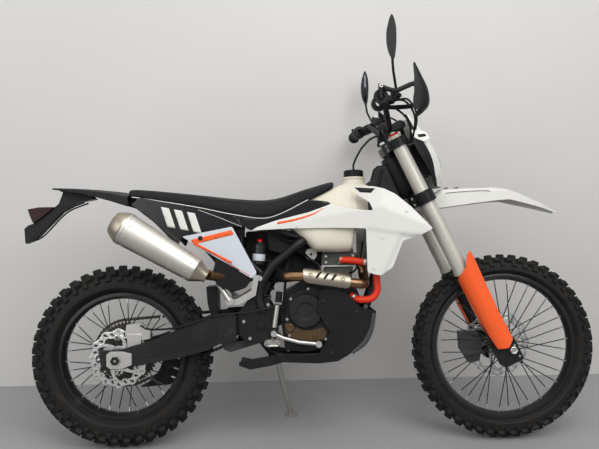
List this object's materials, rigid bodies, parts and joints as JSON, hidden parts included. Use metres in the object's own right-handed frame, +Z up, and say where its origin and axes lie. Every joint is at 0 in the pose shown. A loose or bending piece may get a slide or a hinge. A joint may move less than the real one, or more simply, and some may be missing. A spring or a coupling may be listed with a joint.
{
  "type": "trail motorcycle",
  "caption": "Full-size trail motorcycle leaning on its side stand, with knobbly tyres, long seat, high fenders, tapered silencer, skid plate, hand guards and mirrors",
  "frame": {"origin": "centre of the machine's bounding box, on the floor, as it leans on its side stand", "axes": "+X forward along the machine, +Y to its left, +Z up from the floor"},
  "size_m": [2.1628, 0.8188, 1.5526],
  "materials": {
    "black_steel": "satin",
    "arm_grey": "matt",
    "silver": "cast and machined",
    "engine_grey": "matt",
    "chain_steel": "oiled",
    "disc_steel": "ground",
    "black_plastic": "grained",
    "bare_steel": "heat coloured",
    "can_silver": "brushed",
    "shield_gold": "satin",
    "shock_black": "satin",
    "radiator_alloy": "finned",
    "hose_red": "smooth",
    "vent_rubber": "matt",
    "seat_cover": "grained vinyl",
    "tank_cream": "moulded",
    "white_plastic": "moulded",
    "lamp_red": "clear lens",
    "lamp_clear": "clear lens",
    "fork_silver": "anodised",
    "guard_orange": "moulded",
    "tyre_rubber": "moulded",
    "wheel_black": "satin"
  },
  "bodies": {
    "chassis": {"frame": "black_steel", "subframe": "black_steel", "swingarm": "arm_grey", "pivot_bolt": "silver", "rear_axle": "silver", "rear_caliper": "silver", "chain": "chain_steel", "chain_guide": "black_plastic", "crankcase": "engine_grey", "clutch_cover": "engine_grey", "cylinder": "silver", "throttle_body": "silver", "airbox": "black_plastic", "exhaust_pipe": "bare_steel", "silencer": "can_silver", "silencer_cap": "shield_gold", "heat_shield": "shield_gold", "linkage": "silver", "rear_shock": "shock_black", "skid_plate": "black_plastic", "radiators": "radiator_alloy", "coolant_hoses": "hose_red", "seat": "seat_cover", "fuel_tank": "tank_cream", "fuel_cap": "black_plastic", "vent_hose": "vent_rubber", "radiator_shrouds": "white_plastic", "side_covers": "black_plastic", "lower_panels": "white_plastic", "rear_fender": "black_plastic", "plate_holder": "black_plastic", "tail_lamp": "lamp_red", "inner_mudguard": "black_plastic", "foot_pegs": "silver", "brake_pedal": "silver", "shift_lever": "silver", "passenger_pegs": "silver"},
    "steering": {"triple_clamps": "black_steel", "fork_tubes": "fork_silver", "fork_lowers": "fork_silver", "fork_guards": "guard_orange", "front_fender": "white_plastic", "headlamp_mask": "white_plastic", "headlamp": "lamp_clear", "handlebar": "black_steel", "controls": "vent_rubber", "hand_guards": "black_plastic", "mirrors": "black_steel", "front_caliper": "silver"},
    "front_wheel_body": {"front_tyre": "tyre_rubber", "front_wheel": "wheel_black", "front_disc": "disc_steel"},
    "rear_wheel_body": {"rear_tyre": "tyre_rubber", "rear_wheel": "wheel_black", "rear_disc": "disc_steel", "rear_sprocket": "chain_steel"},
    "stand_body": {"side_stand": "silver"}
  },
  "joints": [
    {"name": "steering_head", "type": "hinge", "parent": "chassis", "child": "steering", "pos_m": [0.35066, -0.03417, 0.99785], "axis": [-0.4305, 0.137, 0.8921], "range_deg": [-40, 40]},
    {"name": "front_wheel_spin", "type": "hinge", "parent": "steering", "child": "front_wheel_body", "pos_m": [0.73259, -0.1342, 0.34643], "axis": [0, 0.9884, -0.1518], "continuous": true},
    {"name": "rear_wheel_spin", "type": "hinge", "parent": "chassis", "child": "rear_wheel_body", "pos_m": [-0.71741, -0.1357, 0.33671], "axis": [0, 0.9884, -0.1518], "continuous": true},
    {"name": "stand_pivot", "type": "hinge", "parent": "chassis", "child": "stand_body", "pos_m": [-0.14944, -0.02198, 0.31958], "axis": [0.1122, 0.9512, 0.2874], "range_deg": [0, 105]}
  ]
}
